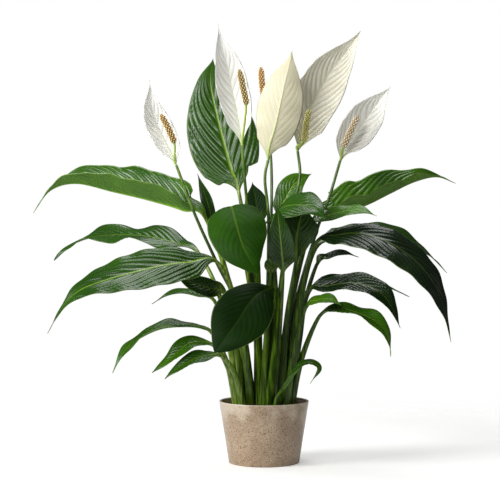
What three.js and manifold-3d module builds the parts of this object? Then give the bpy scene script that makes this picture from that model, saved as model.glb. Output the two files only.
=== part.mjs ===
// A potted peace lily: arching leaves and six white flowers on long stalks, in a plain tapered pot.
// Millimetres, +Z up, -Y is the front. The origin is the centre of the pot's underside.
import * as THREE from "three";
import { mergeVertices } from "three/addons/utils/BufferGeometryUtils.js";
import Module from "manifold-3d";

// ---- Driving dimensions ----
const POT_HEIGHT = 103;
const POT_RIM_RADIUS = 75;
const POT_FOOT_RADIUS = 59;
const POT_WALL = 3.2;
const POT_FLOOR = 5;
const POT_SIDES = 48;
const SOIL_EDGE_LEVEL = 94; // where the soil meets the wall
const SOIL_CROWN_LEVEL = 98; // the low mound in the middle
const STALK_SINK = 14; // how deep the stalks stand in the soil
const FOOT_LEVEL = SOIL_CROWN_LEVEL - STALK_SINK;
const GAP = 0.3; // clearance between neighbouring pieces

const LEAF_STALK_RADIUS = [5.8, 2.8]; // at the soil and at the blade
const LEAF_SKIN = 0.8; // thickness of a blade beside its midrib
const SCAPE_RADIUS = [3.6, 2.5]; // a flower stalk at the soil and at the flower
const SPATHE_SKIN = 0.8;
const MARGIN_SHARE = 0.75; // thickness of a sheet at its margins, as a part of its skin
const CLAW_RADIUS = 1.2; // the narrow foot of a spathe
const SPADIX_RADIUS = 5.4;
const STIPE_RADIUS = 2; // the bare foot of a spadix

// ---- Materials ----
const finish = (color, roughness) => new THREE.MeshStandardMaterial({ color, roughness, metalness: 0 });
const POT_GLAZE = finish(0xa38c70, 0.35);
const SOIL_EARTH = finish(0x30221a, 0.95);
const LEAF_GREEN = finish(0x1c4a12, 0.3);
const SCAPE_GREEN = finish(0x4c7a26, 0.45);
const SPATHE_WHITE = finish(0xece8dc, 0.5);
const SPADIX_CREAM = finish(0xb89a58, 0.8);

// ---- Leaves ----
// foot: where the stalk leaves the soil. stalk: points on its way up. blade: the midrib, from the
// blade's base to its tip. width: half the blade's width. face: where the upper side looks at
// mid-length. fold and curl: how far each half rises from the midrib and how it bends on from
// there, in degrees, left half first. wave: height, number and start of the ripples on the margins.
// twist: turn about the midrib at even steps along the blade, in degrees. peak: where the blade is
// widest, as a share of its length. point: how long drawn-out its tip is.
const LEAVES = [
  { name: "back_left_upright", foot: [-10, 32], stalk: [[-14, 42, 280]],
    blade: [[-43, 66, 456], [-55, 76, 492], [-69, 88, 543], [-83, 98, 598], [-93, 100, 650], [-88, 94, 690]],
    width: 61, face: [-0.1, -1, 0.1], fold: [14, 6], curl: [-25, -10], peak: 0.4, point: 1.2 },
  { name: "left_spike", foot: [-26, 21], stalk: [[-50, 38, 260]],
    blade: [[-84, 56, 386], [-95, 58, 432], [-114, 60, 486]],
    width: 11, face: [-0.3, -1, 0.1], fold: [25, 25] },
  { name: "left_upper", foot: [-20, 9], stalk: [[-42, 14, 240]],
    blade: [[-97, 24, 405], [-137, 36, 424], [-195, 54, 441], [-259, 72, 456], [-326, 88, 471],
      [-373, 98, 459], [-404, 104, 420]],
    width: 56, face: [0, -0.33, 1], fold: [54, 52], curl: [-8, -12], peak: 0.36, point: 2.6,
    wave: [2, 4, 1] },
  { name: "left_far", foot: [-34, 30], stalk: [[-64, 52, 240]],
    blade: [[-110, 80, 346], [-154, 104, 367], [-205, 126, 379], [-261, 144, 382], [-312, 158, 377],
      [-355, 168, 359], [-378, 172, 336]],
    width: 34, face: [0, -0.5, 1], fold: [20, 20], curl: [-25, -25], wave: [7, 3, 0] },
  { name: "left_gloss", foot: [-20, -16], stalk: [[-38, -32, 230]],
    blade: [[-74, -54, 332], [-124, -78, 335], [-165, -98, 330], [-207, -116, 320], [-249, -130, 308],
      [-290, -140, 292], [-318, -142, 265], [-342, -138, 224]],
    width: 53, face: [-0.1, -0.68, 0.75], fold: [14, 14], curl: [-25, -30], peak: 0.42, point: 2.1,
    twist: [-5, 0, 8, 20, 32] },
  { name: "left_under", foot: [-31, -4], stalk: [[-46, -8, 190]],
    blade: [[-63, -12, 279], [-93, -18, 292], [-120, -24, 302], [-152, -30, 319]],
    width: 16, face: [0.1, -0.9, 0.3], fold: [15, 15] },
  { name: "left_thin", foot: [-38, 16], stalk: [[-58, 26, 190]],
    blade: [[-84, 38, 268], [-114, 48, 278], [-142, 56, 282], [-169, 60, 276], [-193, 62, 262]],
    width: 14, face: [0, -0.3, 1], fold: [30, 30] },
  { name: "low_left_a", foot: [-44, 2], stalk: [[-60, -2, 160]],
    blade: [[-84, -14, 213], [-101, -26, 227], [-131, -42, 231], [-171, -60, 227], [-208, -78, 209],
      [-228, -90, 188], [-244, -98, 158]],
    width: 20, face: [0, -0.12, 1], fold: [25, 25], wave: [4, 2, 1] },
  { name: "low_left_b", foot: [-42, -12], stalk: [[-56, -22, 150]],
    blade: [[-79, -36, 194], [-100, -50, 204], [-123, -64, 203], [-147, -78, 184], [-181, -92, 158]],
    width: 18, face: [-0.1, -0.5, 0.8], fold: [20, 20], wave: [2, 2, 0] },
  { name: "low_left_c", foot: [-34, -25], stalk: [[-46, -38, 145]],
    blade: [[-69, -56, 181], [-95, -72, 184], [-123, -86, 175], [-146, -96, 161], [-160, -102, 149]],
    width: 15, face: [-0.1, -0.6, 0.8], fold: [20, 20], wave: [3, 2, 0] },
  { name: "front_left_cup", foot: [-6, -18], stalk: [[-12, -24, 220], [-38, -22, 370]],
    blade: [[-56, -30, 412], [-54, -66, 426], [-47, -104, 402], [-36, -130, 364], [-22, -140, 336],
      [-10, -138, 316]],
    width: 48, face: [-0.05, -1, 0.5], fold: [10, 10], curl: [-42, -42], peak: 0.5, point: 1.0 },
  { name: "front_right_cup", foot: [16, -16], stalk: [[20, -20, 250]],
    blade: [[14, -30, 388], [24, -48, 420], [50, -76, 428], [78, -98, 422], [97, -112, 404]],
    width: 44, face: [-0.1, -0.75, 0.8], fold: [10, 20], curl: [-30, -30], peak: 0.4, point: 1.3 },
  { name: "centre_turned", foot: [27, -25], stalk: [[36, -34, 230]],
    blade: [[52, -42, 336], [53, -46, 372], [58, -50, 404], [66, -44, 426]],
    width: 34, face: [0.1, 1, 0.2], fold: [15, 15], peak: 0.6, point: 1.0 },
  { name: "centre_back", foot: [8, 32], stalk: [[16, 42, 300]],
    blade: [[24, 46, 410], [38, 48, 444], [54, 50, 470], [82, 52, 486]],
    width: 22, face: [-0.2, -1, 0.2], fold: [15, 15], peak: 0.5 },
  { name: "centre_dark", foot: [-8, 7], stalk: [[-9, 8, 280]],
    blade: [[-12, 8, 396], [-13, 10, 432], [-20, 14, 470]],
    width: 20, face: [-0.2, -1, 0.1], fold: [15, 15] },
  { name: "centre_spear", foot: [14, -29], stalk: [[24, -44, 220]],
    blade: [[30, -66, 318], [28, -82, 350], [24, -98, 385], [19, -108, 428]],
    width: 22, face: [-0.1, -1, 0.2], fold: [18, 18], peak: 0.35, point: 1.4 },
  { name: "centre_curl", foot: [-3, -29], stalk: [[5, -35, 230]],
    blade: [[11, -48, 316], [11, -60, 334], [11, -68, 340], [11, -74, 332]],
    width: 12, face: [0, -1, 0.4], fold: [25, 25] },
  { name: "front_drop", foot: [4, -42], stalk: [[18, -54, 200]],
    blade: [[20, -56, 284], [-4, -78, 288], [-24, -104, 271], [-42, -128, 244], [-60, -144, 220],
      [-79, -148, 195]],
    width: 47, face: [0.1, -0.9, 0.7], fold: [14, 14], curl: [-34, -34], peak: 0.55, point: 0.8 },
  { name: "right_upper", foot: [22, 20], stalk: [[44, 34, 250]],
    blade: [[86, 52, 404], [128, 64, 418], [178, 80, 434], [222, 94, 455], [265, 106, 475], [306, 116, 484],
      [340, 120, 473]],
    width: 50, face: [0, -0.3, 1], fold: [52, 50], curl: [-8, -12], peak: 0.34, point: 1.8, wave: [3, 4, 0] },
  { name: "right_small", foot: [22, -4], stalk: [[42, -12, 260]],
    blade: [[78, -30, 400], [99, -46, 410], [125, -62, 417], [156, -76, 420], [181, -84, 410]],
    width: 20, face: [0, -0.6, 0.8], fold: [12, 12] },
  { name: "right_gloss", foot: [32, -13], stalk: [[52, -26, 230]],
    blade: [[81, -44, 360], [118, -68, 379], [157, -90, 381], [197, -108, 367], [236, -122, 340],
      [265, -132, 304], [283, -136, 258], [293, -136, 210]],
    width: 42, face: [0.12, -0.6, 0.85], fold: [12, 12], curl: [-30, -30], peak: 0.42, point: 1.8,
    twist: [0, 0, -8, -16] },
  { name: "right_far", foot: [34, 26], stalk: [[58, 52, 240]],
    blade: [[91, 78, 358], [144, 104, 379], [197, 126, 387], [248, 144, 378], [296, 156, 348],
      [331, 162, 314]],
    width: 32, face: [0, -0.5, 1], fold: [20, 20], wave: [3, 2, 0] },
  { name: "right_under", foot: [34, 3], stalk: [[60, 10, 230]],
    blade: [[89, 16, 330], [111, 24, 343], [138, 30, 349], [162, 34, 343]],
    width: 15, face: [0, -0.3, 1], fold: [25, 25] },
  { name: "right_mid", foot: [45, -6], stalk: [[55, -10, 200]],
    blade: [[70, -14, 284], [108, -34, 296], [150, -52, 301], [186, -68, 288], [206, -78, 262],
      [219, -84, 229]],
    width: 27, face: [0.1, -0.65, 0.85], fold: [18, 18], point: 1.6 },
  { name: "right_mid_far", foot: [44, 12], stalk: [[60, 28, 200]],
    blade: [[81, 44, 289], [144, 72, 304], [208, 94, 293], [257, 106, 273]],
    width: 22, face: [0, -0.3, 1], fold: [20, 20] },
  { name: "right_low", foot: [42, -20], stalk: [[60, -30, 170]],
    blade: [[91, -38, 246], [118, -54, 259], [141, -68, 256], [172, -82, 244], [193, -90, 225],
      [201, -94, 201], [202, -96, 184]],
    width: 18, face: [0, -0.5, 0.9], fold: [25, 25], wave: [4, 2, 0] },
  { name: "right_pale", foot: [34, -37], stalk: [[48, -46, 180]],
    blade: [[67, -56, 260], [87, -72, 274], [106, -84, 276], [123, -92, 267]],
    width: 15, face: [0, -0.6, 0.8], fold: [15, 15] },
  { name: "base_bent", foot: [17, -46], stalk: [[20, -50, 108]],
    blade: [[24, -55, 120], [36, -64, 138], [49, -69, 156], [60, -74, 169], [76, -78, 173], [88, -80, 163],
      [74, -80, 139]],
    width: 11, face: [0.1, -0.7, 1], fold: [25, 25], peak: 0.3, twist: [-40, -20, 0, 0] },
];

// ---- Flowers ----
// foot and scape: the flower stalk. spathe: the white sheath's midrib from its base to its tip.
// spadix: the knobbly spike from its lower to its upper end. The other values are as for leaves,
// and face is where the hollow side of the sheath looks.
const FLOWERS = [
  { name: "far_left", foot: [-14, 21],
    scape: [[-38, 28, 240], [-80, 21, 334], [-115, 9, 412], [-147, 0, 497]],
    spathe: [[-153, 8, 514], [-169, 16, 545], [-183, 18, 575], [-191, 14, 605], [-192, 6, 641]],
    spadix: [[-150, -10, 532], [-159, -14, 556], [-172, -14, 581]],
    width: 24, face: [0.2, -1, 0.15], fold: [12, 12], curl: [20, 20], peak: 0.42, point: 2.2 },
  { name: "left", foot: [-10, -6],
    scape: [[-16, -10, 240], [-26, -22, 400], [-34, -34, 490], [-36, -38, 527]],
    spathe: [[-40, -26, 554], [-46, -16, 590], [-54, -12, 625], [-62, -18, 664], [-72, -28, 698],
      [-76, -36, 730]],
    spadix: [[-30, -52, 590], [-35, -56, 620], [-41, -56, 650]],
    width: 29, face: [0.1, -1, 0.1], fold: [12, 12], curl: [20, 20], peak: 0.45, point: 2.0 },
  { name: "back", foot: [4, 16], scape: [[8, 24, 240], [13, 42, 420], [13, 50, 500], [8, 52, 550]],
    spathe: [[12, 60, 566], [22, 70, 594], [36, 76, 630], [48, 76, 660]],
    spadix: [[0, 46, 616], [-3, 46, 640], [-5, 48, 668]],
    width: 19, face: [-0.5, -1, 0.1], fold: [12, 12], curl: [20, 20], peak: 0.42, point: 2.0 },
  { name: "front", foot: [5, -12], scape: [[5, -20, 240], [7, -40, 400], [1, -48, 470], [6, -50, 502]],
    spathe: [[9, -66, 526], [17, -75, 552], [25, -80, 588], [33, -79, 626], [41, -75, 658], [45, -71, 678]],
    spadix: [[14, -46, 530], [22, -48, 556], [28, -50, 586]],
    width: 38, face: [0.1, 1, 0.1], fold: [8, 8], curl: [15, 15], peak: 0.47, point: 1.5 },
  { name: "tall_right", foot: [11, 0], scape: [[22, 2, 250], [42, -8, 400], [56, -12, 456], [60, -10, 486],
    [56, -10, 520]],
    spathe: [[62, 0, 540], [76, 10, 590], [96, 18, 627], [112, 21, 655], [129, 20, 677], [148, 14, 702],
      [162, 6, 723]],
    spadix: [[65, -26, 533], [69, -30, 558], [74, -32, 587]],
    width: 42, face: [0, -1, 0.1], fold: [20, 6], curl: [20, 14], peak: 0.42, point: 1.3 },
  { name: "far_right", foot: [27, 11], scape: [[50, 8, 250], [86, 0, 380], [108, -6, 440], [127, -10, 504]],
    spathe: [[134, -2, 524], [152, 6, 548], [172, 8, 576], [191, 2, 602], [211, -10, 628]],
    spadix: [[131, -22, 524], [142, -28, 550], [155, -30, 577]],
    width: 33, face: [-0.3, -1, 0.2], fold: [36, 4], curl: [14, 10], peak: 0.45, point: 1.6 },
];

// ---- Shapes shared by leaves and flowers ----
const RING_ACROSS = [-1, -0.5, 0, 0.5, 1]; // places from margin to margin, on either side of a sheet
const STALK_STEPS = 5;
const BLADE_STEPS = 11;
const SCAPE_STEPS = 9;
const SPADIX_STEPS = 10;
const SPINE_DETAIL = 24; // samples between two of a route's points

const vector = (point) => new THREE.Vector3(...point);
const mix = (a, b, share) => a + (b - a) * share;

// A closed body through rings of equal point counts, each end capped by a fan on its middle. The cells
// of the two halves of a ring are split along mirrored diagonals, so that the upper and the lower side
// of a thin warped sheet stay apart.
function loft(rings) {
  const count = rings[0].length;
  const middles = [rings[0], rings.at(-1)].map((ring) =>
    ring.reduce((sum, p) => sum.add(p), new THREE.Vector3()).divideScalar(count));
  const points = [...rings.flat(), ...middles];
  const last = (rings.length - 1) * count;
  const faces = [];
  for (let i = 0; i < count; i++) {
    const j = (i + 1) % count;
    for (let k = 0; k < last; k += count) {
      const cell = [k + i, k + j, k + count + j, k + count + i];
      const [a, b, c, d] = i < count / 2 ? cell : [...cell.slice(1), cell[0]];
      faces.push(a, b, c, a, c, d);
    }
    faces.push(points.length - 2, j, i, points.length - 1, last + i, last + j);
  }
  const geometry = new THREE.BufferGeometry().setFromPoints(points);
  geometry.setIndex(faces);
  return geometry;
}

// A smooth line through the points, with the distances that split it evenly by length.
function route(points) {
  const curve = new THREE.CatmullRomCurve3(points.map(vector), false, "catmullrom");
  curve.arcLengthDivisions = SPINE_DETAIL * (points.length - 1);
  return curve;
}

// Directions out of and across a line, turned as little as possible from where `face` looks at `middle`.
function frames(line, face, middle) {
  const last = line.length - 1;
  const chord = (i) => line[Math.min(i + 1, last)].clone().sub(line[Math.max(i - 1, 0)]);
  const along = line.map((_, i) => chord(i).normalize());
  const square = (v, i) => v.clone().addScaledVector(along[i], -v.dot(along[i])).normalize();
  const out = [];
  out[middle] = square(vector(face), middle);
  for (let i = middle + 1; i <= last; i++) out[i] = square(out[i - 1], i);
  for (let i = middle - 1; i >= 0; i--) out[i] = square(out[i + 1], i);
  return line.map((at, i) => ({ at, out: out[i], across: along[i].clone().cross(out[i]) }));
}

// Half the width of a blade at `share` of its length, as a part of its greatest half width. It
// bulges towards the base, and beyond BODY_SHARE it narrows more and more into its drawn-out tip.
const BODY_BULGE = 0.75;
const BODY_SHARE = 0.55;
function outline(share, peak, point) {
  const rise = Math.sin(Math.PI * share ** (Math.log(0.5) / Math.log(peak)));
  const tipward = THREE.MathUtils.clamp((share - BODY_SHARE) / (1 - BODY_SHARE), 0, 1);
  return Math.max(rise, 0) ** mix(BODY_BULGE, point, tipward ** 1.5);
}

// A place on a blade's cross-section: `v` runs from -1 at the left margin to 1 at the right one.
function acrossBlade(v, share, shape) {
  const { fold = [15, 15], curl = [-20, -20], wave = [0, 2, 0] } = shape;
  const side = v > 0 ? 1 : 0;
  const reach = Math.abs(v);
  const turn = THREE.MathUtils.degToRad(fold[side] + curl[side] * reach / 2);
  const [height, number, start] = wave;
  const ripple = height * reach ** 2 * Math.sin(2 * Math.PI * number * share + start + 2.1 * side)
    * Math.sqrt(Math.sin(Math.PI * share));
  return { sideways: Math.cos(turn) * v, rise: Math.sin(turn) * reach, ripple };
}

// The places round a section: `v` across it, and 1 for its upper side or -1 for its lower side.
const SECTION = [...RING_ACROSS.map((v) => [v, 1]), ...RING_ACROSS.toReversed().map((v) => [v, -1])];

// The same places evenly round a circle: how far aside and how far up.
const onCircle = (v, side) => [Math.sin(v * Math.PI * 0.4), side * Math.cos(v * Math.PI * 0.4)];

// Rings of a round stem. `radiusAt` gives the radius at a share of the length.
function stemRings(line, radiusAt) {
  return frames(line, [0, -1, 0], 0).map(({ at, out, across }, i) => {
    const radius = radiusAt(i / (line.length - 1));
    return SECTION.map((place) => {
      const [aside, up] = onCircle(...place);
      return at.clone().addScaledVector(across, aside * radius).addScaledVector(out, up * radius);
    });
  });
}

// Rings of a round stalk that opens into a blade from `start` on: a thin folded sheet, ribbed below.
const OPENING_RATE = 6; // the stalk is fully flattened after one part in this many of the blade
function bladeRings(line, start, shape, [lower, upper], skin) {
  const { width, face, peak = 0.42, point = 1.5, twist = [0, 0] } = shape;
  const last = line.length - 1;
  return frames(line, face, Math.round((start + last) / 2)).map(({ at, out, across }, i) => {
    const share = Math.max(i - start, 0) / (last - start);
    const radius = i < start ? mix(lower, upper, i / start) : upper;
    const flat = Math.min(share * OPENING_RATE, 1);
    const step = Math.min(Math.floor(share * (twist.length - 1)), twist.length - 2);
    const onward = share * (twist.length - 1) - step;
    const turn = THREE.MathUtils.degToRad(mix(twist[step], twist[step + 1], onward));
    const up = out.clone().multiplyScalar(Math.cos(turn)).addScaledVector(across, Math.sin(turn));
    const aside = across.clone().multiplyScalar(Math.cos(turn)).addScaledVector(out, -Math.sin(turn));
    const half = Math.max(width * outline(share, peak, point), radius * (1 - 0.9 * share));
    const rib = mix(2 * radius, skin, Math.sqrt(share));
    return SECTION.map(([v, side]) => {
      const { sideways, rise, ripple } = acrossBlade(v, share, shape);
      const [roundAside, roundUp] = onCircle(v, side);
      const reach = Math.abs(v) * 2;
      const sheet = reach < 1 ? mix(rib, skin, reach) : mix(skin, skin * MARGIN_SHARE, reach - 1);
      const depth = side < 0 ? sheet : 0;
      return at.clone().addScaledVector(aside, mix(roundAside * radius, sideways * half, flat))
        .addScaledVector(up, mix(roundUp * radius, rise * half + ripple - depth, flat));
    });
  });
}

// The radius of a spadix: a bare foot up to `bare` of its length, then a spike that ends round.
function spadixRadius(share, bare) {
  const spike = THREE.MathUtils.smoothstep(share, bare, bare + 0.06);
  const end = Math.sqrt(Math.min(1, (1.01 - share) * 12));
  return mix(STIPE_RADIUS, SPADIX_RADIUS * mix(1, 0.86, share) * end, spike);
}

// ---- The pot ----
// A body turned from a profile of radius and height pairs, stood upright on +Z.
function turned(profile, sides) {
  const points = profile.map(([radius, height]) => new THREE.Vector2(radius, height));
  const geometry = new THREE.LatheGeometry(points, sides).rotateX(Math.PI / 2);
  geometry.deleteAttribute("normal");
  geometry.deleteAttribute("uv");
  return mergeVertices(geometry);
}

const outerRadius = (height) => mix(POT_FOOT_RADIUS, POT_RIM_RADIUS, height / POT_HEIGHT);
const innerRadius = (height) => outerRadius(height) - POT_WALL;

const EDGE = 1.2; // the softened corners of foot and rim
const potProfile = [
  [0, 0],
  [POT_FOOT_RADIUS - 2 * EDGE, 0],
  [POT_FOOT_RADIUS - EDGE / 2, EDGE / 2],
  [outerRadius(2 * EDGE), 2 * EDGE],
  [outerRadius(POT_HEIGHT - EDGE), POT_HEIGHT - EDGE],
  [POT_RIM_RADIUS - POT_WALL / 2, POT_HEIGHT],
  [innerRadius(POT_HEIGHT - EDGE), POT_HEIGHT - EDGE],
  [innerRadius(POT_FLOOR + EDGE), POT_FLOOR + EDGE],
  [innerRadius(POT_FLOOR) - EDGE, POT_FLOOR],
  [0, POT_FLOOR],
];

// ---- The soil ----
// It fills the pot to a low mound, with a socket for every stalk.
const soilProfile = [
  [0, POT_FLOOR + GAP],
  [innerRadius(POT_FLOOR) - 3 * EDGE, POT_FLOOR + GAP],
  [innerRadius(POT_FLOOR + 3 * EDGE) - GAP, POT_FLOOR + 3 * EDGE],
  [innerRadius(SOIL_EDGE_LEVEL) - GAP, SOIL_EDGE_LEVEL],
  [POT_RIM_RADIUS * 0.7, mix(SOIL_EDGE_LEVEL, SOIL_CROWN_LEVEL, 0.6)],
  [POT_RIM_RADIUS * 0.35, SOIL_CROWN_LEVEL],
  [0, SOIL_CROWN_LEVEL],
];

const wasm = await Module();
wasm.setup();

function solid(geometry) {
  const { position } = geometry.attributes;
  const made = new wasm.Mesh({ numProp: 3, vertProperties: position.array, triVerts: geometry.index.array });
  return new wasm.Manifold(made);
}

function geometryOf(manifold) {
  const mesh = manifold.getMesh();
  const geometry = new THREE.BufferGeometry();
  geometry.setAttribute("position", new THREE.BufferAttribute(new Float32Array(mesh.vertProperties), 3));
  geometry.setIndex(new THREE.BufferAttribute(new Uint32Array(mesh.triVerts), 1));
  return geometry;
}

// ---- Assembly ----
const group = new THREE.Group();
group.name = "potted_peace_lily";
const sockets = [];

function add(name, geometry, material) {
  const mesh = new THREE.Mesh(geometry, material);
  mesh.name = name;
  group.add(mesh);
}

// `steps` even steps along a curve, between two shares of its length.
function walk(curve, steps, start = 0, end = 1) {
  return Array.from({ length: steps + 1 }, (_, i) => curve.getPointAt(mix(start, end, i / steps)));
}

// A socket in the soil round the buried stretch of a stalk.
function addSocket(line, radius) {
  const clear = line.findIndex((p) => p.z > SOIL_CROWN_LEVEL + radius);
  const floor = line[0].clone().lerp(line[1], -2 * GAP / line[0].distanceTo(line[1]));
  sockets.push(solid(loft(stemRings([floor, ...line.slice(1, clear + 1)], () => radius + 2 * GAP))));
}

for (const leaf of LEAVES) {
  const stalk = [[...leaf.foot, FOOT_LEVEL], ...leaf.stalk];
  const curve = route([...stalk, ...leaf.blade]);
  const start = curve.getLengths()[SPINE_DETAIL * stalk.length] / curve.getLength();
  const line = [...walk(curve, STALK_STEPS, 0, start), ...walk(curve, BLADE_STEPS, start).slice(1)];
  const rings = bladeRings(line, STALK_STEPS, leaf, LEAF_STALK_RADIUS, LEAF_SKIN);
  add(`leaf_${leaf.name}`, loft(rings), LEAF_GREEN);
  addSocket(line, LEAF_STALK_RADIUS[0]);
}

for (const flower of FLOWERS) {
  const scape = route([[...flower.foot, FOOT_LEVEL], ...flower.scape]);
  const line = walk(scape, SCAPE_STEPS);
  const top = line.at(-1);
  add(`scape_${flower.name}`, loft(stemRings(line, (share) => mix(...SCAPE_RADIUS, share))), SCAPE_GREEN);
  addSocket(line, SCAPE_RADIUS[0]);

  const behind = vector(flower.face).normalize().multiplyScalar(-SCAPE_RADIUS[1] - CLAW_RADIUS - GAP);
  const spathe = route([top.clone().add(behind).toArray(), ...flower.spathe]);
  const sheath = bladeRings(walk(spathe, BLADE_STEPS), 0, flower, [CLAW_RADIUS, CLAW_RADIUS], SPATHE_SKIN);
  add(`spathe_${flower.name}`, loft(sheath), SPATHE_WHITE);

  const ahead = top.clone().sub(line.at(-2)).normalize();
  const onward = [2 * GAP, 4 * STIPE_RADIUS].map((way) => top.clone().addScaledVector(ahead, way).toArray());
  const spadix = route([...onward, ...flower.spadix]);
  const bare = spadix.getLengths()[SPINE_DETAIL * onward.length] / spadix.getLength();
  const spike = stemRings(walk(spadix, SPADIX_STEPS), (share) => spadixRadius(share, bare));
  add(`spadix_${flower.name}`, loft(spike), SPADIX_CREAM);
}

add("pot", turned(potProfile, POT_SIDES), POT_GLAZE);

// Slivers left between crowded sockets are dropped: the soil is the largest body.
const mound = solid(turned(soilProfile, POT_SIDES));
const pierced = sockets.reduce((rest, socket) => rest.subtract(socket), mound);
const soil = pierced.decompose().reduce((most, body) => (body.volume() > most.volume() ? body : most));
add("soil", geometryOf(soil), SOIL_EARTH);

export default group;
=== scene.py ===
import bpy
import numpy as np
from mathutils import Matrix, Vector


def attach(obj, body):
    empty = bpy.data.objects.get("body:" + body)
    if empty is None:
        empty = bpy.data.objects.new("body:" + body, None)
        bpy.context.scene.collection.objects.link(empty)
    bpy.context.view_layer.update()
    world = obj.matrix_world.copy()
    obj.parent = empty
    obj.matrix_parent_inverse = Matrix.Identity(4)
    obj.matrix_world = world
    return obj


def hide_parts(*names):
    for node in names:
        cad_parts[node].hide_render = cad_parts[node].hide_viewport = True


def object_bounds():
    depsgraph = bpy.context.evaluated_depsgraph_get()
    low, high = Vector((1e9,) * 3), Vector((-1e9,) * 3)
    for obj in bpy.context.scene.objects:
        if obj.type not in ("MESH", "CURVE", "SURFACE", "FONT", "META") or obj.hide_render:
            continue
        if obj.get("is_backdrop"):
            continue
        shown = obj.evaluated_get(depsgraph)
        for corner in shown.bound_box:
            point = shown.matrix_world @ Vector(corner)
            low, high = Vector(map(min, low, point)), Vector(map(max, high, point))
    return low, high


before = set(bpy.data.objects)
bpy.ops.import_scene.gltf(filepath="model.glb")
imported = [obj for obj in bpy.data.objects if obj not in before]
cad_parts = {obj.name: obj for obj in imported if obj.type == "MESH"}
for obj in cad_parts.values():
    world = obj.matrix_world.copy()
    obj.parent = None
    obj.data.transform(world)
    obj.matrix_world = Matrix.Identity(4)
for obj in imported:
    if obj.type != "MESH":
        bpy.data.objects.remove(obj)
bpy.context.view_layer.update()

# ---- The pot ----
# A stoneware pot thrown in one piece, with straight sides that widen to a plain rim. Its oatmeal
# glaze is satin and full of fine brown and pale specks. The foot ring is left bare.
POT_HEIGHT = .103
POT_RIM_RADIUS = .075
POT_FOOT_RADIUS = .059
POT_WALL = .0032
POT_FLOOR = .005
POT_EDGE = .0014  # how far the corners of rim and foot are rounded
FOOT_RING = .005  # how wide it is, round a hollow
FOOT_HOLLOW = .0015
POT_SIDES = 256
POLE = .001  # the radius of the smallest ring round a pole
POT_SPACING = .002  # between the rings of points on the wall
GLAZE = (156, 132, 105)
GLAZE_LIGHT = (176, 153, 127)
GLAZE_DARK = (118, 95, 70)
SPECK_BROWN = (84, 62, 42)
SPECK_PALE = (226, 214, 194)
BARE_CLAY = (150, 118, 88)


def unit(vectors):
    """Each vector divided by its length."""
    return vectors / np.linalg.norm(vectors, axis=-1, keepdims=True)


def lengths(line):
    """How far along the line each of its points is: the running sum of the steps between them."""
    return np.r_[0, np.cumsum(np.linalg.norm(np.diff(line, axis=0), axis=1))]


def at_lengths(line, places):
    """The points of the line at the given distances along it, each coordinate mixed in a straight
    line between the two nearest points."""
    reached = lengths(line)
    return np.stack([np.interp(places, reached, axis) for axis in line.T], 1)


def rounded(corners, reach):
    """A line through corners, each one replaced by the curve (1-t)² before + 2t(1-t) corner + t²
    after, where before and after lie `reach` away from the corner on its two sides."""
    corners = np.array(corners)
    corner = corners[1:-1, None]
    before = corner + reach * unit(corners[:-2, None] - corner)
    after = corner + reach * unit(corners[2:, None] - corner)
    t = np.linspace(0, 1, 9)[:, None]
    bends = (1 - t) ** 2 * before + 2 * t * (1 - t) * corner + t ** 2 * after
    return np.vstack([corners[:1], bends.reshape(-1, 2), corners[-1:]])


def refined(line, spacing):
    """The line with further points on it, `spacing` apart."""
    reached = lengths(line)
    return at_lengths(line, np.union1d(reached, np.arange(0, reached[-1], spacing)))


def turned(profile, sides):
    """Rings round the Z axis: a profile point (radius, height) becomes (radius cos a, radius sin a,
    height) for `sides` even angles a."""
    angle = np.linspace(0, 2 * np.pi, sides, endpoint=False)
    radius, height = profile.T[..., None]
    return np.stack([radius * np.cos(angle), radius * np.sin(angle), height + 0 * angle], -1)


def closed_mesh(name, rings, fields={}):
    """A mesh of closed bodies, each through its own rings of points (body, ring, place, xyz): four
    sides join neighbouring places of neighbouring rings, and a fan to its mean closes an end ring.
    A field is one number for each place, kept as an attribute of the mesh."""
    rings = rings.reshape(-1, *rings.shape[-3:])
    bodies, count, places = rings.shape[:3]
    index = np.arange(count * places).reshape(count, places)
    beside = np.roll(index, -1, axis=1)
    sheet = np.stack([index[:-1], beside[:-1], beside[1:], index[1:]], -1).reshape(-1, 4)
    first, last = np.full(places, count * places), np.full(places, count * places + 1)
    fans = np.vstack([np.stack([beside[0], index[0], first], 1),
                      np.stack([index[-1], beside[-1], last], 1)])
    step = (np.arange(bodies) * (count * places + 2))[:, None, None]

    def with_ends(values):
        ends = values[:, [0, -1]].mean(axis=2)
        return np.concatenate([values.reshape(bodies, count * places, -1), ends], axis=1)

    made = bpy.data.meshes.new(name)
    made.from_pydata(with_ends(rings).reshape(-1, 3), [],
                     (sheet + step).reshape(-1, 4).tolist() + (fans + step).reshape(-1, 3).tolist())
    for field, values in fields.items():
        data = made.attributes.new(field, "FLOAT", "POINT").data
        values = np.broadcast_to(values, rings.shape[:3])[..., None]
        data.foreach_set("value", with_ends(values).astype(np.float32).ravel())
    made.shade_smooth()
    return made


def piece(mesh, finish, slot, *nodes):
    """Shows the mesh as a piece that stands for the nodes."""
    made = bpy.data.objects.new(mesh.name, mesh)
    bpy.context.collection.objects.link(made)
    mesh.materials.append(finish)
    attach(made, "root")
    if nodes:
        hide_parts(*nodes)


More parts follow.
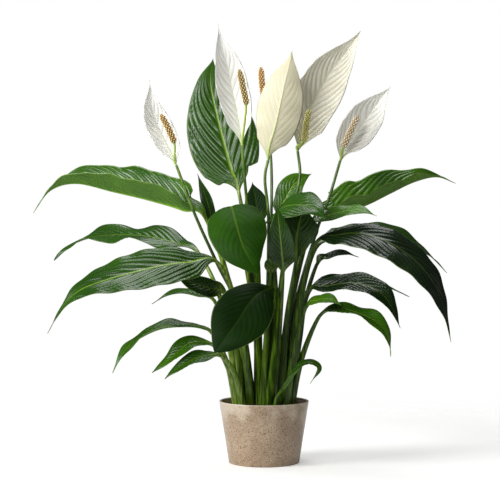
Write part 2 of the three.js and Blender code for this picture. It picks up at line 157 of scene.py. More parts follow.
class Wire:
    """An output of a node. Arithmetic on it adds Math nodes, with a wire or a number beside it."""

    def __init__(self, tree, socket=None):
        self.tree = tree
        self.socket = socket

    def node(self, kind, inputs={}, output=0, stops=(), **settings):
        """Adds a node with these settings and ramp stops, then the values or wires of its inputs."""
        made = self.tree.nodes.new("ShaderNode" + kind)
        for name, value in settings.items():
            setattr(made, name, value)
        for at, shade in stops:
            stop = made.color_ramp.elements.new(at) if 0 < at < 1 else made.color_ramp.elements[-int(at)]
            stop.color = shade
        self.plug(made, inputs)
        return Wire(self.tree, made.outputs[output])

    def plug(self, node, inputs):
        for name, value in inputs.items():
            if isinstance(value, Wire):
                self.tree.links.new(value.socket, node.inputs[name])
            else:
                node.inputs[name].default_value = value

    def other(self, output):
        """Another output of the same node."""
        return Wire(self.tree, self.socket.node.outputs[output])

    def surface(self, inputs):
        """Sets the material's own shader."""
        self.plug(self.tree.nodes["Principled BSDF"], inputs)

    def field(self, name):
        return self.node("Attribute", output="Fac", attribute_name=name)

    def noise(self, place, scale, detail=3):
        return self.node("TexNoise", {"Vector": place, "Scale": scale, "Detail": detail})

    def math(self, operation, *others):
        return self.node("Math", dict(enumerate((self, *others))), operation=operation)

    def __add__(self, other):
        return self.math("ADD", other)

    def __sub__(self, other):
        return self.math("SUBTRACT", other)

    def __mul__(self, other):
        return self.math("MULTIPLY", other)

    __radd__ = __add__

    def __abs__(self):
        return self.math("ABSOLUTE")

    def between(self, low, high):
        """0 up to `low` and 1 from `high` on, with a smooth step between."""
        return self.node("MapRange", {"Value": self, "From Min": low, "From Max": high},
                         interpolation_type="SMOOTHSTEP")

    def ramp(self, stops):
        """The colours at these stops from 0 to 1, blended."""
        return self.node("ValToRGB", {0: self}, stops=[(at, colour(*shade)) for at, shade in stops])

    def mix(self, first, second):
        """The first colour where this is 0 and the second where it is 1."""
        return self.node("Mix", {0: self, 6: first, 7: second}, output=2, data_type="RGBA")

    def bump(self, height, strength=1.0):
        """A normal from this height, in metres."""
        return self.node("Bump", {"Height": self, "Distance": height, "Strength": strength})


def new_finish(name):
    """A material and a wire of its own tree."""
    made = bpy.data.materials.new(name)
    made.use_nodes = True
    return made, Wire(made.node_tree)


def colour(red, green, blue):
    """The light of a colour given by its values from 0 to 255: ((value/255 + 0.055) / 1.055) ^ 2.4."""
    return (*((np.array([red, green, blue]) / 255 + .055) / 1.055) ** 2.4, 1)


def mixed(first, second, share):
    return first + (second - first) * share


def outer_radius(height):
    return mixed(POT_FOOT_RADIUS, POT_RIM_RADIUS, height / POT_HEIGHT)


def inner_radius(height):
    return outer_radius(height) - POT_WALL


pot_profile = refined(rounded([
    (POLE, FOOT_HOLLOW),
    (POT_FOOT_RADIUS - FOOT_RING - FOOT_HOLLOW, FOOT_HOLLOW),
    (POT_FOOT_RADIUS - FOOT_RING, 0),
    (POT_FOOT_RADIUS, 0),
    (POT_RIM_RADIUS, POT_HEIGHT),
    (inner_radius(POT_HEIGHT), POT_HEIGHT),
    (inner_radius(POT_FLOOR), POT_FLOOR),
    (POLE, POT_FLOOR),
], POT_EDGE), POT_SPACING)

glaze, wire = new_finish("speckled_glaze")
place = wire.node("TexCoord", output="Object")
height = wire.node("SeparateXYZ", {0: place}, output="Z")
mottle = wire.noise(place, 26, 4)
grain = wire.noise(place, 420, 2)
clay = mottle.between(.35, .7).mix(colour(*GLAZE), colour(*GLAZE_LIGHT))
clay = grain.between(.5, .68).mix(clay, colour(*GLAZE_DARK))
for scale, radius, share, speck in [(760, .32, .3, SPECK_BROWN), (420, .2, .16, SPECK_BROWN),
                                    (640, .3, .4, SPECK_PALE)]:
    cell = wire.node("TexVoronoi", {"Vector": place, "Scale": scale})
    chosen = wire.node("SeparateColor", {0: cell.other("Color")})
    spot = cell.between(radius, radius * .6) * chosen.math("LESS_THAN", share)
    clay = spot.mix(clay, colour(*speck))
# Painted highlight: the glaze is painted paler over the upper part of the wall, broken up by the mottle.
painted_top_highlight = height.between(.06, POT_HEIGHT) * mottle.between(.35, .6)
rim_line = height.between(POT_HEIGHT - .0016, POT_HEIGHT - .0006)
clay = (rim_line * .5 + painted_top_highlight * .5).mix(clay, colour(*SPECK_PALE))
bare = height.between(.0012, .0004)
clay = bare.mix(clay, colour(*BARE_CLAY))
wire.surface({
    "Base Color": clay,
    "Roughness": grain * .16 + .3 + bare * .4,
    "Coat Weight": .45,
    "Coat Roughness": .2,
    "Normal": (grain + mottle * 2).bump(.00012, .8),
})
piece(closed_mesh("glazed_pot", turned(pot_profile, POT_SIDES)), glaze, "pot_glaze", "pot")

# ---- The potting soil ----
# Dark crumbly peat, filled to just under the rim and drawn up a little round the stalks. Loose
# crumbs and a few pale grains of perlite lie on it.
SOIL_EDGE_LEVEL = .094
SOIL_CROWN_LEVEL = .098
SOIL_GAP = .0003
SOIL_SPACING = .0012
SOIL_LUMPS = ((.0009, .012), (.0006, .004))  # height and size
CRUMBS = 420
PALE_GRAINS = 26
CRUMB_SIZE = (.0008, .0022)
PEAT = (50, 35, 25)
PEAT_LIGHT = (104, 76, 54)
PERLITE = (196, 186, 170)
chance = np.random.default_rng(7)


def lumps(points, size, waves=24):
    """A random field from about -1 to 1: the sum of plane waves in random directions, each
    sin(2π (direction · point) / size + start), over the root of half their number."""
    ways = unit(chance.normal(size=(waves, points.shape[-1]))) * 2 * np.pi / size
    ways *= chance.uniform(.6, 1.6, (waves, 1))
    return np.sin(points @ ways.T + chance.uniform(0, 2 * np.pi, waves)).sum(-1) / np.sqrt(waves / 2)


def strewn(name, number, finish):
    """Crumbs strewn on the soil: balls of 5 rings of 8 places, stretched by a random amount along each
    axis, with every point pushed in or out at random."""
    down = np.linspace(.3, np.pi - .3, 5)[:, None]
    angle = np.linspace(0, 2 * np.pi, 8, endpoint=False)
    ball = np.stack([np.sin(down) * np.cos(angle), np.sin(down) * np.sin(angle),
                     -np.cos(down) + 0 * angle], -1)
    size = chance.uniform(*CRUMB_SIZE, (number, 1, 1, 1)) * chance.uniform(.6, 1.2, (number, 1, 1, 3))
    radius = inner_radius(SOIL_EDGE_LEVEL) * np.sqrt(chance.uniform(0, .94, number))
    around = chance.uniform(0, 2 * np.pi, number)
    centre = np.stack([radius * np.cos(around), radius * np.sin(around), soil_level(radius)], -1)
    knocked = ball * size * chance.uniform(.75, 1.25, (number, 5, 8, 1))
    piece(closed_mesh(name, centre[:, None, None] + knocked), finish, "potting_soil")


def soil_level(radius):
    """The height of the mound: the crown's level in the middle, falling to the edge's with the cube of
    the radius."""
    fall = (radius / inner_radius(SOIL_EDGE_LEVEL)) ** 3
    return mixed(SOIL_CROWN_LEVEL, SOIL_EDGE_LEVEL, fall)


top_radius = np.arange(inner_radius(SOIL_EDGE_LEVEL) - SOIL_GAP, POLE, -SOIL_SPACING)
soil_profile = np.vstack([
    [(POLE, POT_FLOOR + SOIL_GAP), (inner_radius(POT_FLOOR) - .004, POT_FLOOR + SOIL_GAP),
     (inner_radius(POT_FLOOR + .004) - SOIL_GAP, POT_FLOOR + .004)],
    np.stack([top_radius, soil_level(top_radius)], 1),
])
soil_rings = turned(soil_profile, POT_SIDES)
for height, size in SOIL_LUMPS:
    soil_rings[3:, :, 2] += height * lumps(soil_rings[3:, :, :2], size)

peat, wire = new_finish("crumbly_peat")
place = wire.node("TexCoord", output="Object")
crumb = wire.noise(place, 380, 5)
clod = wire.noise(place, 90, 3)
wire.surface({
    "Base Color": (crumb * .6 + clod * .4).between(.42, .66).mix(colour(*PEAT), colour(*PEAT_LIGHT)),
    "Roughness": .92,
    "Normal": crumb.bump(.0012),
})
piece(closed_mesh("peat_mound", soil_rings), peat, "potting_soil", "soil")
strewn("peat_crumbs", CRUMBS, peat)

perlite, wire = new_finish("perlite")
pores = wire.noise(wire.node("TexCoord", output="Object"), 900, 4)
wire.surface({
    "Base Color": pores.between(.4, .6).mix(colour(*PEAT_LIGHT), colour(*PERLITE)),
    "Roughness": .85,
    "Normal": pores.bump(.0004),
})
strewn("perlite_grains", PALE_GRAINS, perlite)

# ---- The leaves ----
# Twenty-eight leaves, each a blade on a thick round stalk that rises from the soil. A blade is thin,
# waxy and dark above and paler below, with a pale midrib and side veins sunk into its upper side.
# stalk and blade: the midrib's points, from in the soil to the tip. width: half the blade's width.
# face: where the upper side looks at mid-length. fold and curl: how far each half rises from the
# midrib and how it bends on, in degrees, left half first. wave: height, number and start of the
# ripples on the margins. twist: turn about the midrib at even steps along the blade. peak: where
# the blade is widest. point: how drawn-out its tip is. tone: from 0, dark, to 1, pale, set to how
# dark each leaf looks where it hangs, so it is partly the leaf's own green and partly painted shade.
# slant: how far the side veins reach forward, in half widths. relief: how strongly they stand out,
# from 0 to 1.
LEAVES = {
    "back_left_upright": dict(
        stalk=[(-.010, .032, .084), (-.014, .042, .280)],
        blade=[(-.043, .066, .456), (-.055, .076, .492), (-.069, .088, .543), (-.083, .098, .598),
               (-.093, .100, .650), (-.088, .094, .690)],
        width=.061, face=(-.1, -1, .1), fold=(14, 6), curl=(-25, -10), peak=.4, point=1.2, tone=.5,
        slant=1.7, relief=1),
    "left_spike": dict(
        stalk=[(-.026, .021, .084), (-.050, .038, .260)],
        blade=[(-.084, .056, .386), (-.095, .058, .432), (-.114, .060, .486)],
        width=.011, face=(-.3, -1, .1), fold=(25, 25), tone=.3, slant=1.3, relief=.4),
    "left_upper": dict(
        stalk=[(-.020, .009, .084), (-.042, .014, .240)],
        blade=[(-.097, .024, .405), (-.137, .036, .424), (-.195, .054, .441), (-.259, .072, .456),
               (-.326, .088, .471), (-.373, .098, .459), (-.404, .104, .420)],
        width=.056, face=(0, -.33, 1), fold=(54, 52), curl=(-8, -12), peak=.36, point=2.6,
        wave=(.002, 4, 1), tone=.55, slant=1.15, relief=.8),
    "left_far": dict(
        stalk=[(-.034, .030, .084), (-.064, .052, .240)],
        blade=[(-.110, .080, .346), (-.154, .104, .367), (-.205, .126, .379), (-.261, .144, .382),
               (-.312, .158, .377), (-.355, .168, .359), (-.378, .172, .336)],
        width=.034, face=(0, -.5, 1), fold=(20, 20), curl=(-25, -25), wave=(.007, 3, 0), tone=.42,
        slant=1.6, relief=.5),
    "left_gloss": dict(
        stalk=[(-.020, -.016, .084), (-.038, -.032, .230)],
        blade=[(-.074, -.054, .332), (-.124, -.078, .335), (-.165, -.098, .330), (-.207, -.116, .320),
               (-.249, -.130, .308), (-.290, -.140, .292), (-.318, -.142, .265), (-.342, -.138, .224)],
        width=.053, face=(-.1, -.68, .75), fold=(14, 14), curl=(-25, -30), peak=.42, point=2.1,
        twist=(-5, 0, 8, 20, 32), tone=.42, slant=2.1, relief=1),
    "left_under": dict(
        stalk=[(-.031, -.004, .084), (-.046, -.008, .190)],
        blade=[(-.063, -.012, .279), (-.093, -.018, .292), (-.120, -.024, .302), (-.152, -.030, .319)],
        width=.016, face=(.1, -.9, .3), fold=(15, 15), tone=.35, slant=1.3, relief=.6),
    "left_thin": dict(
        stalk=[(-.038, .016, .084), (-.058, .026, .190)],
        blade=[(-.084, .038, .268), (-.114, .048, .278), (-.142, .056, .282), (-.169, .060, .276),
               (-.193, .062, .262)],
        width=.014, face=(0, -.3, 1), fold=(30, 30), tone=.45, slant=1.3, relief=.4),
    "low_left_a": dict(
        stalk=[(-.044, .002, .084), (-.060, -.002, .160)],
        blade=[(-.084, -.014, .213), (-.101, -.026, .227), (-.131, -.042, .231), (-.171, -.060, .227),
               (-.208, -.078, .209), (-.228, -.090, .188), (-.244, -.098, .158)],
        width=.020, face=(0, -.12, 1), fold=(25, 25), wave=(.004, 2, 1), tone=.55, slant=1.3,
        relief=.5),
    "low_left_b": dict(
        stalk=[(-.042, -.012, .084), (-.056, -.022, .150)],
        blade=[(-.079, -.036, .194), (-.100, -.050, .204), (-.123, -.064, .203), (-.147, -.078, .184),
               (-.181, -.092, .158)],
        width=.018, face=(-.1, -.5, .8), fold=(20, 20), wave=(.002, 2, 0), tone=.58, slant=1.3,
        relief=.5),
    "low_left_c": dict(
        stalk=[(-.034, -.025, .084), (-.046, -.038, .145)],
        blade=[(-.069, -.056, .181), (-.095, -.072, .184), (-.123, -.086, .175), (-.146, -.096, .161),
               (-.160, -.102, .149)],
        width=.015, face=(-.1, -.6, .8), fold=(20, 20), wave=(.003, 2, 0), tone=.5, slant=1.3,
        relief=.5),
    "front_left_cup": dict(
        stalk=[(-.006, -.018, .084), (-.012, -.024, .220), (-.038, -.022, .370)],
        blade=[(-.056, -.030, .412), (-.054, -.066, .426), (-.047, -.104, .402), (-.036, -.130, .364),
               (-.022, -.140, .336), (-.010, -.138, .316)],
        width=.048, face=(-.05, -1, .5), fold=(10, 10), curl=(-42, -42), peak=.5, point=1, tone=.38,
        slant=1.2, relief=.25),
    "front_right_cup": dict(
        stalk=[(.016, -.016, .084), (.020, -.020, .250)],
        blade=[(.014, -.030, .388), (.024, -.048, .420), (.050, -.076, .428), (.078, -.098, .422),
               (.097, -.112, .404)],
        width=.044, face=(-.1, -.75, .8), fold=(10, 20), curl=(-30, -30), peak=.4, point=1.3, tone=.44,
        slant=1.3, relief=.5),
    "centre_turned": dict(
        stalk=[(.027, -.025, .084), (.036, -.034, .230)],
        blade=[(.052, -.042, .336), (.053, -.046, .372), (.058, -.050, .404), (.066, -.044, .426)],
        width=.034, face=(.1, 1, .2), fold=(15, 15), peak=.6, point=1, tone=.3, slant=1.3, relief=1),
    "centre_back": dict(
        stalk=[(.008, .032, .084), (.016, .042, .300)],
        blade=[(.024, .046, .410), (.038, .048, .444), (.054, .050, .470), (.082, .052, .486)],
        width=.022, face=(-.2, -1, .2), fold=(15, 15), peak=.5, tone=.62, slant=1.3, relief=.5),
    "centre_dark": dict(
        stalk=[(-.008, .007, .084), (-.009, .008, .280)],
        blade=[(-.012, .008, .396), (-.013, .010, .432), (-.020, .014, .470)],
        width=.020, face=(-.2, -1, .1), fold=(15, 15), tone=.15, slant=1.3, relief=.3),
    "centre_spear": dict(
        stalk=[(.014, -.029, .084), (.024, -.044, .220)],
        blade=[(.030, -.066, .318), (.028, -.082, .350), (.024, -.098, .385), (.019, -.108, .428)],
        width=.022, face=(-.1, -1, .2), fold=(18, 18), peak=.35, point=1.4, tone=.36, slant=1.3,
        relief=1),
    "centre_curl": dict(
        stalk=[(-.003, -.029, .084), (.005, -.035, .230)],
        blade=[(.011, -.048, .316), (.011, -.060, .334), (.011, -.068, .340), (.011, -.074, .332)],
        width=.012, face=(0, -1, .4), fold=(25, 25), tone=.5, slant=1.3, relief=.5),
    "front_drop": dict(
        stalk=[(.004, -.042, .084), (.018, -.054, .200)],
        blade=[(.020, -.056, .284), (-.004, -.078, .288), (-.024, -.104, .271), (-.042, -.128, .244),
               (-.060, -.144, .220), (-.079, -.148, .195)],
        width=.047, face=(.1, -.9, .7), fold=(14, 14), curl=(-34, -34), peak=.55, point=.8, tone=.12,
        slant=1.2, relief=.25),
    "right_upper": dict(
        stalk=[(.022, .020, .084), (.044, .034, .250)],
        blade=[(.086, .052, .404), (.128, .064, .418), (.178, .080, .434), (.222, .094, .455),
               (.265, .106, .475), (.306, .116, .484), (.340, .120, .473)],
        width=.050, face=(0, -.3, 1), fold=(52, 50), curl=(-8, -12), peak=.34, point=1.8,
        wave=(.003, 4, 0), tone=.62, slant=1.5, relief=.8),
    "right_small": dict(
        stalk=[(.022, -.004, .084), (.042, -.012, .260)],
        blade=[(.078, -.030, .400), (.099, -.046, .410), (.125, -.062, .417), (.156, -.076, .420),
               (.181, -.084, .410)],
        width=.020, face=(0, -.6, .8), fold=(12, 12), tone=.58, slant=1.3, relief=.45),
    "right_gloss": dict(
        stalk=[(.032, -.013, .084), (.052, -.026, .230)],
        blade=[(.081, -.044, .360), (.118, -.068, .379), (.157, -.090, .381), (.197, -.108, .367),
               (.236, -.122, .340), (.265, -.132, .304), (.283, -.136, .258), (.293, -.136, .210)],
        width=.042, face=(.12, -.6, .85), fold=(12, 12), curl=(-30, -30), peak=.42, point=1.8,
        twist=(0, 0, -8, -16), tone=.1, slant=2.1, relief=1),
    "right_far": dict(
        stalk=[(.034, .026, .084), (.058, .052, .240)],
        blade=[(.091, .078, .358), (.144, .104, .379), (.197, .126, .387), (.248, .144, .378),
               (.296, .156, .348), (.331, .162, .314)],
        width=.032, face=(0, -.5, 1), fold=(20, 20), wave=(.003, 2, 0), tone=.4, slant=1.6, relief=.6),
    "right_under": dict(
        stalk=[(.034, .003, .084), (.060, .010, .230)],
        blade=[(.089, .016, .330), (.111, .024, .343), (.138, .030, .349), (.162, .034, .343)],
        width=.015, face=(0, -.3, 1), fold=(25, 25), tone=.22, slant=1.3, relief=1),
    "right_mid": dict(
        stalk=[(.045, -.006, .084), (.055, -.010, .200)],
        blade=[(.070, -.014, .284), (.108, -.034, .296), (.150, -.052, .301), (.186, -.068, .288),
               (.206, -.078, .262), (.219, -.084, .229)],
        width=.027, face=(.1, -.65, .85), fold=(18, 18), point=1.6, tone=.16, slant=1.8, relief=1),
    "right_mid_far": dict(
        stalk=[(.044, .012, .084), (.060, .028, .200)],
        blade=[(.081, .044, .289), (.144, .072, .304), (.208, .094, .293), (.257, .106, .273)],
        width=.022, face=(0, -.3, 1), fold=(20, 20), tone=.3, slant=1.3, relief=1),
    "right_low": dict(
        stalk=[(.042, -.020, .084), (.060, -.030, .170)],
        blade=[(.091, -.038, .246), (.118, -.054, .259), (.141, -.068, .256), (.172, -.082, .244),
               (.193, -.090, .225), (.201, -.094, .201), (.202, -.096, .184)],
        width=.018, face=(0, -.5, .9), fold=(25, 25), wave=(.004, 2, 0), tone=.55, slant=1.3,
        relief=.6),
    "right_pale": dict(
        stalk=[(.034, -.037, .084), (.048, -.046, .180)],
        blade=[(.067, -.056, .260), (.087, -.072, .274), (.106, -.084, .276), (.123, -.092, .267)],
        width=.015, face=(0, -.6, .8), fold=(15, 15), tone=.62, slant=1.3, relief=.5),
    "base_bent": dict(
        stalk=[(.017, -.046, .084), (.020, -.050, .108)],
        blade=[(.024, -.055, .120), (.036, -.064, .138), (.049, -.069, .156), (.060, -.074, .169),
               (.076, -.078, .173), (.088, -.080, .163), (.074, -.080, .139)],
        width=.011, face=(.1, -.7, 1), fold=(25, 25), peak=.3, twist=(-40, -20, 0, 0), tone=.5,
        slant=1.3, relief=.5),
}

LEAF_STALK_RADIUS = (.0074, .0030)  # at the soil and at the blade
LEAF_SKIN = .0008
LEAF_SPACING = .0016  # between the rings of points on a blade
LINE_DETAIL = 48  # samples between two of a line's points
VEIN_DEPTH = .003
VEIN_PITCH = (.0032, .2)  # between side veins: a length, and a part of the width to add to it
SMALL_RIPPLE = (.0012, .046)  # height and length of the ripples that every margin has
COLUMN_WIDTH = .0024
SMOOTH_RELIEF = .32  # leaves with less relief than this are the smooth, duller ones
LEAF_TONES = ((0, (8, 22, 6)), (.3, (24, 56, 4)), (.5, (44, 88, 4)), (.7, (78, 128, 8)),
              (1, (128, 168, 44)))
VEIN_PALE = (130, 168, 52)
RIB_PALE = (150, 184, 52)
MARGIN_PALE = (150, 176, 96)
STALK_TONES = ((0, (16, 30, 2)), (.4, (50, 78, 8)), (.7, (98, 130, 30)), (1, (160, 176, 92)))


def smooth_line(points):
    """A line through the points p: between p1 and p2 it is half of 2 p1 + (p2 - p0) f + (2 p0 - 5 p1 +
    4 p2 - p3) f² + (3 p1 - p0 - 3 p2 + p3) f³, and each end point is mirrored about its neighbour."""
    points = np.array(points, float)
    points = np.vstack([2 * points[0] - points[1], points, 2 * points[-1] - points[-2]])
    spans = len(points) - 3
    t = np.linspace(0, spans, spans * LINE_DETAIL + 1)
    span = np.minimum(t.astype(int), spans - 1)
    f = (t - span)[:, None]
    p0, p1, p2, p3 = (points[span + step] for step in range(4))
    return (2 * p1 + (p2 - p0) * f + (2 * p0 - 5 * p1 + 4 * p2 - p3) * f ** 2
            + (3 * p1 - p0 - 3 * p2 + p3) * f ** 3) / 2


def carried(line, face, middle):
    """Directions out of and across a line. Out is the way of `face` at the middle point, made square
    to the line, and it is carried from point to point and made square again at each."""
    along = unit(np.gradient(line, axis=0))
    out = np.zeros_like(line)
    out[middle:] = face
    out[middle] = unit(out[middle] - out[middle] @ along[middle] * along[middle])
    for here, before in [*zip(range(middle + 1, len(line)), range(middle, len(line))),
                         *zip(range(middle - 1, -1, -1), range(middle, 0, -1))]:
        out[here] = unit(out[before] - out[before] @ along[here] * along[here])
    return out, np.cross(along, out)


def outline(share, peak, point):
    """Half the width of a blade, as a part of the greatest: sin(π share^p) to a power that grows from
    0.75 to `point` in the last half of the length, where p puts the widest place at `peak`."""
    rise = np.sin(np.pi * share ** (np.log(.5) / np.log(peak)))
    power = mixed(.75, point, np.clip((share - .55) / .45, 0, 1) ** 1.5)
    return np.maximum(rise, 0) ** power


def step_up(low, high, value):
    """0 below `low`, 1 above `high` and 3t² - 2t³ between."""
    t = np.clip((value - low) / (high - low), 0, 1)
    return t * t * (3 - 2 * t)


def blade(points, knots, shape, radii, skin, spacing, pitch, slant, depth):
    """Rings of a round stalk that opens into a folded, veined sheet, and the fields its finish reads.
    Across the sheet a place v from -1 to 1 lies sideways by v cos(turn) and up by |v| sin(turn) half
    widths, where turn = fold + curl |v| / 2. Veins leave the midrib every `pitch` and bend forward:
    their count is (distance - k slant width (|v| + 0.4 |v|³)) / pitch with a small waver, where k
    grows from 0.8 to 1.1. Between them the sheet bulges by depth (√(sin²(π count) + 0.01) - 0.6),
    which fades out at the midrib, the margins and both ends."""
    line = smooth_line(points)
    reached = lengths(line)
    start, end = reached[LINE_DETAIL * knots], reached[-1]
    places = np.r_[np.arange(0, start - spacing, 4 * spacing), np.arange(start, end, spacing), end]
    at = at_lengths(line, places)
    distance = places - start
    share = np.clip(distance / (end - start), 0, 1)
    out, across = carried(at, shape["face"], int(np.searchsorted(share, .55)))
    twist = shape.get("twist", (0, 0))
    turn = np.radians(np.interp(share, np.linspace(0, 1, len(twist)), twist))[:, None]
    up = out * np.cos(turn) + across * np.sin(turn)
    aside = across * np.cos(turn) - out * np.sin(turn)

    width = shape["width"]
    columns = int(np.clip(8 + width / COLUMN_WIDTH, 10, 30))
    t = np.linspace(-1, 1, 2 * columns + 1)
    v = np.sign(t) * abs(t) ** 1.35
    v, side = np.r_[v, v[-2:0:-1]], np.r_[v * 0 + 1, v[-2:0:-1] * 0 - 1]
    reach, hand = abs(v), (v > 0).astype(int)

    share, distance = share[:, None], distance[:, None]
    radius = np.where(distance < 0, mixed(*radii, places[:, None] / max(start, spacing)), radii[1])
    half = np.maximum(width * outline(share, shape.get("peak", .42), shape.get("point", 1.5)),
                      radius * (1 - .9 * share))
    flat = np.clip(6 * share, 0, 1)
    lean = np.radians(np.array(shape.get("fold", (15, 15)))[hand]
                      + np.array(shape.get("curl", (-20, -20)))[hand] * reach / 2)
    height, number, first = shape.get("wave", (0, 2, 0))
    ripple = (height * np.sin(2 * np.pi * number * share + first + 2.1 * hand)
              + SMALL_RIPPLE[0] * np.sin(2 * np.pi * distance / SMALL_RIPPLE[1] + 2.6 * hand
                                         + 40 * width)) * reach ** 2
    ripple = ripple * np.sqrt(np.sin(np.pi * share))
    bend = slant * width * mixed(.8, 1.1, share) * (reach + .4 * reach ** 3)
    waver = .16 * np.sin(distance / .021 + 3 * hand + 90 * width) * reach
    count = (distance - bend) / pitch + .5 * hand + waver
    fade = (step_up(.02, .22, reach) * step_up(1, .86, reach) * step_up(0, .1, share)
            * step_up(.97, .66, share))
    bulge = (depth * (np.sqrt(np.sin(np.pi * count) ** 2 + .01) - .6) * fade
             * np.minimum(half / width * 1.3, 1))
    rib = mixed(2 * radius, skin, np.sqrt(share))
    below = skin + (rib - skin) * np.exp(-(reach * half / (.6 * rib + .0004)) ** 2)
    inset = bulge - np.where(side < 0, below, 0)
    sideways = np.cos(lean) * v * half - np.sign(v) * np.sin(lean) * inset
    rise = np.sin(lean) * reach * half + ripple + np.cos(lean) * inset
    sideways = mixed(np.sin(v * np.pi / 2) * radius, sideways, flat)
    rise = mixed(side * np.cos(v * np.pi / 2) * radius, rise, flat)
    rings = at[:, None] + sideways[..., None] * aside[:, None] + rise[..., None] * up[:, None]
    fields = {
        "vein": count,
        "rib": reach * half / (.0026 * (1 - .8 * share) * (.5 + width / .06)),
        "margin": reach + 0 * share,
        "under": (side < 0) + 0 * share,
        "opened": step_up(-.004, .03, distance) + 0 * v,
        "share": share + 0 * v,
        "tone": shape["tone"] + 0 * (share + v),
        "relief": shape["relief"] * step_up(1, .7, share) + 0 * v,
    }
    return rings, fields


def leaf_look(name, roughness, specular):
    """A leaf's finish. The green follows the leaf's tone, with fine pale veins, painted shade in the vein
    grooves, a pale midrib and margin, and a lighter underside; the stalk is streaked, pales towards the
    blade and is painted paler on the plant's left side, as painted light."""
    finish, wire = new_finish(name)
    place = wire.node("TexCoord", output="Object")
    tone, share, under = wire.field("tone"), wire.field("share"), wire.field("under")
    opened, rib, margin = wire.field("opened"), wire.field("rib"), wire.field("margin")
    vein, relief = wire.field("vein"), wire.field("relief")
    cloud = wire.noise(place, 18, 3)
    between = abs(vein.math("FRACT") - .5)  # 0.5 on a vein and 0 midway to the next
    vein_line = between.between(.43, .49)
    fine = abs((vein * 7).math("FRACT") - .5).between(.15, .5)
    # Painted shade: the green is darker in the vein grooves and lighter on the bulges between them.
    depth = (tone + (cloud - .5) * .3 - fine * .03 - between.between(.15, .45) * relief * .12
             + under * .16)
    green = depth.ramp(LEAF_TONES)
    green = (vein_line * relief * (under * .2 + tone * .45)).mix(green, colour(*VEIN_PALE))
    green = (rib.between(1, .4) * (tone * 1.3).math("MINIMUM", .75) * relief).mix(green, colour(*RIB_PALE))
    green = (margin.between(.955, .985) * .45).mix(green, colour(*MARGIN_PALE))
    stretched = place.node("VectorMath", {0: place, 1: (1, 1, .08)}, operation="MULTIPLY")
    streak = wire.noise(stretched, 260, 2)
    # Painted light: stalks on the plant's left, towards the key light, are painted paler than on the right.
    painted_lit_side = place.node("SeparateXYZ", {0: place}, output="X").between(.04, -.06)
    stalk = (streak * 1.3 + cloud * .3 + painted_lit_side * .3 + share * .6 - .42).ramp(STALK_TONES)
    wire.surface({
        "Base Color": opened.mix(stalk, green),
        "Roughness": cloud * .1 + under * .2 + roughness,
        "Specular IOR Level": specular,
        "Normal": (cloud - fine * .3).bump(.00006, .5),
    })
    return finish


WAXY_LEAF = leaf_look("waxy_leaf", .2, .4)
SOFT_LEAF = leaf_look("soft_leaf", .45, .06)

for name, leaf in LEAVES.items():
    pitch = (VEIN_PITCH[0] + VEIN_PITCH[1] * leaf["width"]) * leaf["slant"]
    rings, fields = blade(leaf["stalk"] + leaf["blade"], len(leaf["stalk"]), leaf, LEAF_STALK_RADIUS,
                          LEAF_SKIN, LEAF_SPACING, pitch, leaf["slant"], VEIN_DEPTH * leaf["relief"])
    look = SOFT_LEAF if leaf["relief"] < SMOOTH_RELIEF else WAXY_LEAF
    piece(closed_mesh(name + "_leaf", rings, fields), look, "leaf_green", "leaf_" + name)
